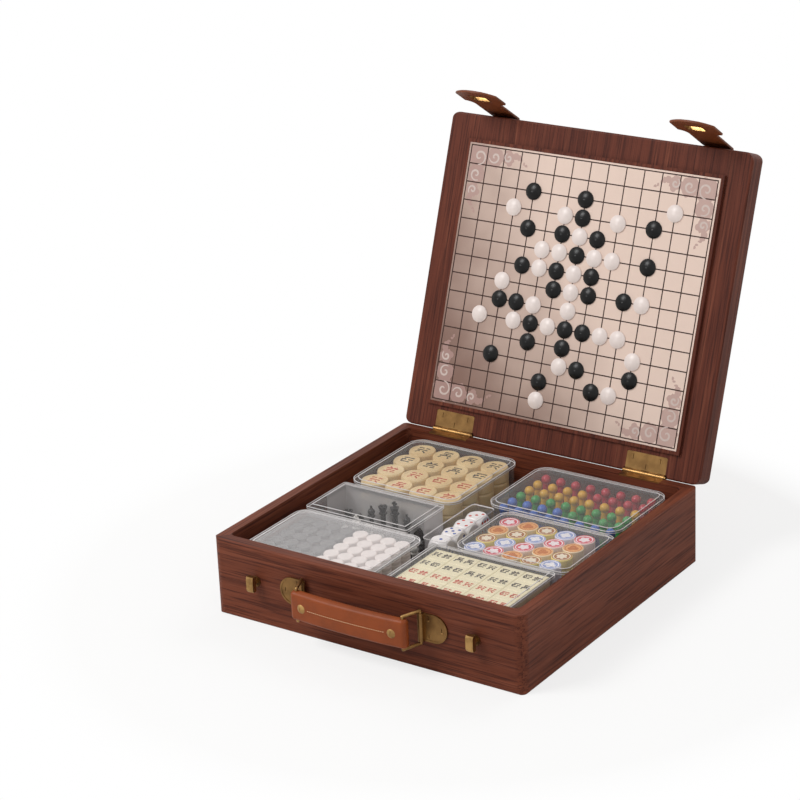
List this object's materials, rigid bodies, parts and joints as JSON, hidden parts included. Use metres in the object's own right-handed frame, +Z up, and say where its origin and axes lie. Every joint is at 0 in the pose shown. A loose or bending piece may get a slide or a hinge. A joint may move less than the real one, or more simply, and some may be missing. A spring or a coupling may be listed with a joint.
{
  "type": "games compendium box",
  "caption": "Wooden games box with a board on each face of its hinged lid, strap clasps, a carrying handle and clear cases of playing pieces.",
  "frame": {"origin": "centre of the underside of the base, at the level it rests on", "axes": "+X to the right along the front, +Y to the back (the hinge side), +Z up"},
  "size_m": [0.32, 0.4543, 0.3908],
  "materials": {
    "wood_base": "satin lacquer",
    "wood_lid": "satin lacquer",
    "brass": "aged",
    "leather": "smooth",
    "steel": "rolled",
    "inner_print": "printed",
    "outer_print": "printed",
    "case_clear": "frosted clear",
    "stone_black": "polished",
    "stone_white": "polished",
    "disc_wood": "lacquered",
    "tile_ivory": "moulded",
    "chess_black": "moulded",
    "chess_white": "moulded",
    "token_red": "printed",
    "token_orange": "printed",
    "token_brown": "printed",
    "token_blue": "printed",
    "peg_red": "moulded",
    "peg_yellow": "moulded",
    "peg_green": "moulded",
    "peg_blue": "moulded",
    "dice_white": "moulded"
  },
  "bodies": {
    "base": {"base_frame": "wood_base", "base_floor": "wood_base", "hinge_base_leaves": "brass", "hinge_pins": "brass", "hinge_base_screws": "brass", "handle_plates": "brass", "handle_screws": "brass", "button_bushes": "brass"},
    "lid": {"lid_frame": "wood_lid", "lid_panel": "wood_lid", "steel_sheet": "steel", "inner_board": "inner_print", "outer_board": "outer_print", "hinge_lid_leaves": "brass", "hinge_lid_screws": "brass", "strap_roots": "leather", "strap_rivets": "brass", "board_stones_black": "stone_black", "board_stones_white": "stone_white"},
    "strap_left": {"strap_flap_left": "leather", "eyelet_left": "brass"},
    "strap_right": {"strap_flap_right": "leather", "eyelet_right": "brass"},
    "button_left": {"button_left": "brass"},
    "button_right": {"button_right": "brass"},
    "loop_left": {"handle_loop_left": "brass"},
    "grip": {"handle_grip": "leather", "grip_studs": "brass"},
    "loop_right": {"handle_loop_right": "brass"},
    "disc_case": {"disc_tray": "case_clear", "discs_red": "disc_wood", "discs_black": "disc_wood"},
    "disc_case_lid": {"disc_tray_lid": "case_clear"},
    "chess_case": {"chess_tray": "case_clear", "chess_men_black": "chess_black", "chess_men_white": "chess_white"},
    "chess_case_lid": {"chess_tray_lid": "case_clear"},
    "stone_case": {"stone_tray": "case_clear", "spare_stones_black": "stone_black", "spare_stones_white": "stone_white"},
    "stone_case_lid": {"stone_tray_lid": "case_clear"},
    "tile_case": {"tile_tray": "case_clear", "tiles_red": "tile_ivory", "tiles_black": "tile_ivory"},
    "tile_case_lid": {"tile_tray_lid": "case_clear"},
    "token_case": {"token_tray": "case_clear", "tokens_red": "token_red", "tokens_orange": "token_orange", "tokens_brown": "token_brown", "tokens_blue": "token_blue"},
    "token_case_lid": {"token_tray_lid": "case_clear"},
    "peg_case": {"peg_tray": "case_clear", "pegs_red": "peg_red", "pegs_yellow": "peg_yellow", "pegs_green": "peg_green", "pegs_blue": "peg_blue"},
    "peg_case_lid": {"peg_tray_lid": "case_clear"},
    "dice_case": {"dice_tray": "case_clear"},
    "dice": {"dice": "dice_white"}
  },
  "joints": [
    {"name": "lid_hinge", "type": "hinge", "parent": "base", "child": "lid", "pos_m": [0, 0.1505, 0.0732], "axis": [-1, 0, 0], "range_deg": [-110, 0]},
    {"name": "strap_left_bend", "type": "hinge", "parent": "lid", "child": "strap_left", "pos_m": [-0.1135, 0.27354, 0.34927], "axis": [-1, 0, 0], "range_deg": [-13.8, 50]},
    {"name": "strap_right_bend", "type": "hinge", "parent": "lid", "child": "strap_right", "pos_m": [0.1135, 0.27354, 0.34927], "axis": [-1, 0, 0], "range_deg": [-13.8, 50]},
    {"name": "button_left_turn", "type": "hinge", "parent": "base", "child": "button_left", "pos_m": [-0.1135, -0.151, 0.041], "axis": [0, 1, 0], "range_deg": [-90, 0]},
    {"name": "button_right_turn", "type": "hinge", "parent": "base", "child": "button_right", "pos_m": [0.1135, -0.151, 0.041], "axis": [0, 1, 0], "range_deg": [-90, 0]},
    {"name": "handle_swing", "type": "hinge", "parent": "base", "child": "loop_left", "pos_m": [-0.061, -0.1541, 0.041], "axis": [0, 0, 1], "range_deg": [-16, 16]},
    {"name": "grip_pivot", "type": "hinge", "parent": "loop_left", "child": "grip", "pos_m": [-0.0545, -0.1711, 0.041], "axis": [0, 0, 1], "range_deg": [-18, 18]},
    {"name": "loop_right_swing", "type": "hinge", "parent": "base", "child": "loop_right", "pos_m": [0.061, -0.1541, 0.041], "axis": [0, 0, 1], "range_deg": [-16, 16]},
    {"name": "disc_case_lift", "type": "slide", "parent": "base", "child": "disc_case", "axis": [0, 0, 1], "range_m": [0, 0.075]},
    {"name": "disc_lid_lift", "type": "slide", "parent": "disc_case", "child": "disc_case_lid", "axis": [0, 0, 1], "range_m": [0, 0.03]},
    {"name": "chess_case_lift", "type": "slide", "parent": "base", "child": "chess_case", "axis": [0, 0, 1], "range_m": [0, 0.075]},
    {"name": "chess_lid_lift", "type": "slide", "parent": "chess_case", "child": "chess_case_lid", "axis": [0, 0, 1], "range_m": [0, 0.03]},
    {"name": "stone_case_lift", "type": "slide", "parent": "base", "child": "stone_case", "axis": [0, 0, 1], "range_m": [0, 0.075]},
    {"name": "stone_lid_lift", "type": "slide", "parent": "stone_case", "child": "stone_case_lid", "axis": [0, 0, 1], "range_m": [0, 0.03]},
    {"name": "tile_case_lift", "type": "slide", "parent": "base", "child": "tile_case", "axis": [0, 0, 1], "range_m": [0, 0.075]},
    {"name": "tile_lid_lift", "type": "slide", "parent": "tile_case", "child": "tile_case_lid", "axis": [0, 0, 1], "range_m": [0, 0.03]},
    {"name": "token_case_lift", "type": "slide", "parent": "base", "child": "token_case", "axis": [0, 0, 1], "range_m": [0, 0.075]},
    {"name": "token_lid_lift", "type": "slide", "parent": "token_case", "child": "token_case_lid", "axis": [0, 0, 1], "range_m": [0, 0.03]},
    {"name": "peg_case_lift", "type": "slide", "parent": "base", "child": "peg_case", "axis": [0, 0, 1], "range_m": [0, 0.075]},
    {"name": "peg_lid_lift", "type": "slide", "parent": "peg_case", "child": "peg_case_lid", "axis": [0, 0, 1], "range_m": [0, 0.03]},
    {"name": "dice_case_lift", "type": "slide", "parent": "base", "child": "dice_case", "axis": [0, 0, 1], "range_m": [0, 0.075]},
    {"name": "dice_lift", "type": "slide", "parent": "dice_case", "child": "dice", "axis": [0, 0, 1], "range_m": [0, 0.06]}
  ],
  "couplings": [
    {"joint": "grip_pivot", "follows": "handle_swing", "ratio": -1.119},
    {"joint": "loop_right_swing", "follows": "handle_swing", "ratio": 1}
  ]
}
